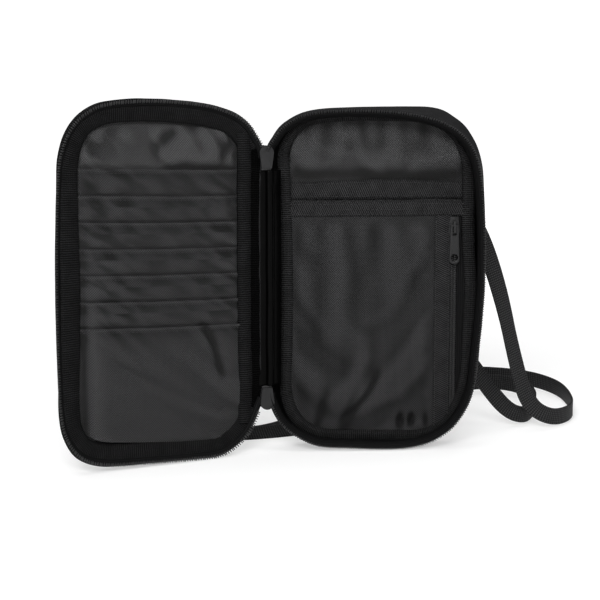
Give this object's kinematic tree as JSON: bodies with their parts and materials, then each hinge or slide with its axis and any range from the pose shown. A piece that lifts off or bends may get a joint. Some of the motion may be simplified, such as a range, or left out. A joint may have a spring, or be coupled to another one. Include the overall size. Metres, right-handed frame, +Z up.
{
  "type": "zip-around travel organiser",
  "caption": "Zip-around fabric wallet for a passport and cards, open like a book, with card pockets, a zipped mesh pocket and a neck strap.",
  "frame": {"origin": "middle of the flat underside of the rear case", "axes": "+Z up, -Y out of the open case towards the viewer, +X away from the spine"},
  "size_m": [0.3223, 0.225, 0.202],
  "materials": {
    "shell_fabric": "black woven polyester",
    "lining_fabric": "black twill lining with a soft sheen",
    "grosgrain": "black ribbed grosgrain tape",
    "mesh": "black fine diagonal net",
    "zip_tape": "black woven zip tape",
    "webbing": "black flat webbing",
    "coil": "black nylon coil teeth",
    "black_metal": "satin dark grey enamel",
    "board": "stiffener board"
  },
  "bodies": {
    "case": {"case_back_panel": "shell_fabric", "case_wall": "shell_fabric", "case_board": "board", "case_lining": "lining_fabric", "case_zip_tape": "zip_tape", "case_zip_chain": "coil", "case_binding": "grosgrain", "passport_sleeve": "lining_fabric", "sleeve_hem": "grosgrain", "mesh_hem": "grosgrain", "mesh_panel": "mesh", "zip_border_tape": "grosgrain", "pocket_zip_tapes": "zip_tape", "pocket_zip_chain": "coil", "pocket_zip_stop": "black_metal", "strap": "webbing", "strap_anchor_right": "webbing", "strap_anchor_left": "webbing"},
    "spine": {"spine_cover": "shell_fabric", "spine_lining": "lining_fabric", "upper_zip_end": "coil", "upper_slider": "black_metal", "lower_zip_end": "coil", "lower_slider": "black_metal"},
    "lid": {"lid_cover": "shell_fabric", "lid_wall": "shell_fabric", "lid_board": "board", "lid_lining": "lining_fabric", "lid_binding": "grosgrain", "lid_zip_tape": "zip_tape", "lid_zip_chain": "coil", "card_pocket_1": "lining_fabric", "card_pocket_2": "lining_fabric", "card_pocket_3": "lining_fabric", "card_pocket_4": "lining_fabric", "card_pocket_5": "lining_fabric", "card_pocket_6": "lining_fabric", "card_pocket_7": "lining_fabric", "card_binding": "grosgrain"},
    "upper_pull": {"upper_pull": "black_metal"},
    "lower_pull": {"lower_pull": "black_metal"},
    "pocket_slider": {"pocket_slider": "black_metal"},
    "pocket_pull": {"pocket_pull": "black_metal"}
  },
  "joints": [
    {"name": "spine_fold", "type": "hinge", "parent": "case", "child": "spine", "pos_m": [-0.063, -0.01, 0.101], "axis": [0, 0, 1], "range_deg": [-12, 78]},
    {"name": "lid_fold", "type": "hinge", "parent": "spine", "child": "lid", "pos_m": [-0.06985, -0.01145, 0.101], "axis": [0, 0, 1], "range_deg": [-12, 78]},
    {"name": "upper_pull_swing", "type": "hinge", "parent": "spine", "child": "upper_pull", "pos_m": [-0.06715, -0.0073, 0.171], "axis": [0.9781, 0.2079, 0], "range_deg": [0, 160]},
    {"name": "lower_pull_swing", "type": "hinge", "parent": "spine", "child": "lower_pull", "pos_m": [-0.06715, -0.0073, 0.0322], "axis": [0.9781, 0.2079, 0], "range_deg": [-160, 0]},
    {"name": "pocket_slide", "type": "slide", "parent": "case", "child": "pocket_slider", "axis": [0, 0, -1], "range_m": [0, 0.08]},
    {"name": "pocket_pull_swing", "type": "hinge", "parent": "pocket_slider", "child": "pocket_pull", "pos_m": [0.0428, -0.0012, 0.12945], "axis": [-1, 0, 0], "range_deg": [0, 160]}
  ],
  "couplings": [
    {"joint": "lid_fold", "follows": "spine_fold", "ratio": 1}
  ]
}
